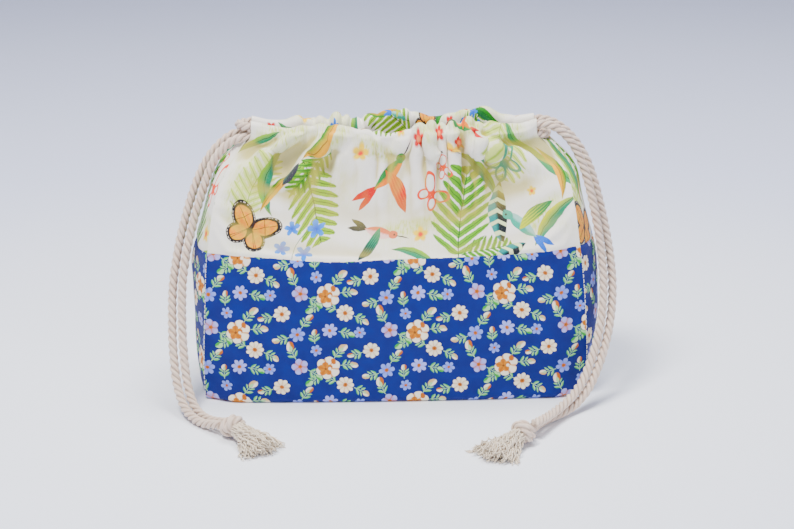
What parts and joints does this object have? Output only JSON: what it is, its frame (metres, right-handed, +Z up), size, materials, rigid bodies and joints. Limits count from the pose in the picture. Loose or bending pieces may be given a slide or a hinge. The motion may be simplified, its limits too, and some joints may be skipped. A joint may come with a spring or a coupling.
{
  "type": "knitting bag",
  "caption": "Drawstring knitting project bag with a boxed base, blue printed lower walls, cream printed gathered top and two rope drawstrings with frayed knotted ends.",
  "frame": {"origin": "middle of the base, on the surface that the bag stands on", "axes": "+X along the width, front faces -Y, +Z up through the mouth"},
  "size_m": [0.2943, 0.2205, 0.1833],
  "materials": {
    "blue_cotton": "royal blue quilting cotton with a small printed flower pattern",
    "cream_cotton": "warm white quilting cotton with a large printed leaf, bird and butterfly pattern",
    "lining_cotton": "plain pale cotton lining",
    "fleece": "white fusible fleece interlining",
    "base_board": "stiff pale base board",
    "cotton_rope": "natural three-strand twisted cotton rope"
  },
  "bodies": {
    "root": {"base_panel": "blue_cotton", "base_stiffener": "base_board", "base_lining": "lining_cotton", "front_lower_panel": "blue_cotton", "front_fleece": "fleece", "front_lower_lining": "lining_cotton", "back_lower_panel": "blue_cotton", "back_fleece": "fleece", "back_lower_lining": "lining_cotton", "left_gusset_lower_panel": "blue_cotton", "left_gusset_fleece": "fleece", "left_gusset_lower_lining": "lining_cotton", "right_gusset_lower_panel": "blue_cotton", "right_gusset_fleece": "fleece", "right_gusset_lower_lining": "lining_cotton", "left_gusset_upper_panel": "cream_cotton", "right_gusset_upper_panel": "cream_cotton", "front_upper_left_shoulder": "cream_cotton", "front_upper_right_shoulder": "cream_cotton", "back_upper_left_shoulder": "cream_cotton", "back_upper_right_shoulder": "cream_cotton", "left_cord_turn": "cotton_rope", "right_cord_turn": "cotton_rope"},
    "mouth_front": {"front_upper_panel": "cream_cotton", "front_upper_lining": "lining_cotton", "front_drawstring_casing": "cream_cotton", "left_cord_front_run": "cotton_rope", "right_cord_front_run": "cotton_rope"},
    "mouth_back": {"back_upper_panel": "cream_cotton", "back_upper_lining": "lining_cotton", "back_drawstring_casing": "cream_cotton", "left_cord_back_run": "cotton_rope", "right_cord_back_run": "cotton_rope"},
    "left_cord": {"left_cord_front_tail": "cotton_rope", "left_cord_back_tail": "cotton_rope", "left_cord_knot": "cotton_rope", "left_cord_tassel": "cotton_rope"},
    "right_cord": {"right_cord_front_tail": "cotton_rope", "right_cord_back_tail": "cotton_rope", "right_cord_knot": "cotton_rope", "right_cord_tassel": "cotton_rope"}
  },
  "joints": [
    {"name": "left_cord_draw", "type": "slide", "parent": "root", "child": "left_cord", "axis": [0, 0, 1], "range_m": [0, 0.024], "deforming": ["left_cord_front_tail", "left_cord_back_tail"]},
    {"name": "right_cord_draw", "type": "slide", "parent": "root", "child": "right_cord", "axis": [0, 0, 1], "range_m": [0, 0.024], "deforming": ["right_cord_front_tail", "right_cord_back_tail"]},
    {"name": "mouth_front_open", "type": "hinge", "parent": "root", "child": "mouth_front", "pos_m": [0, -0.052, 0.094], "axis": [1, 0, 0], "range_deg": [0, 22]},
    {"name": "mouth_back_open", "type": "hinge", "parent": "root", "child": "mouth_back", "pos_m": [0, 0.052, 0.094], "axis": [-1, 0, 0], "range_deg": [0, 22]}
  ],
  "couplings": [
    {"joint": "right_cord_draw", "follows": "left_cord_draw", "ratio": 1},
    {"joint": "mouth_front_open", "follows": "left_cord_draw", "rad_per_m": 15.9},
    {"joint": "mouth_back_open", "follows": "left_cord_draw", "rad_per_m": 15.9}
  ]
}
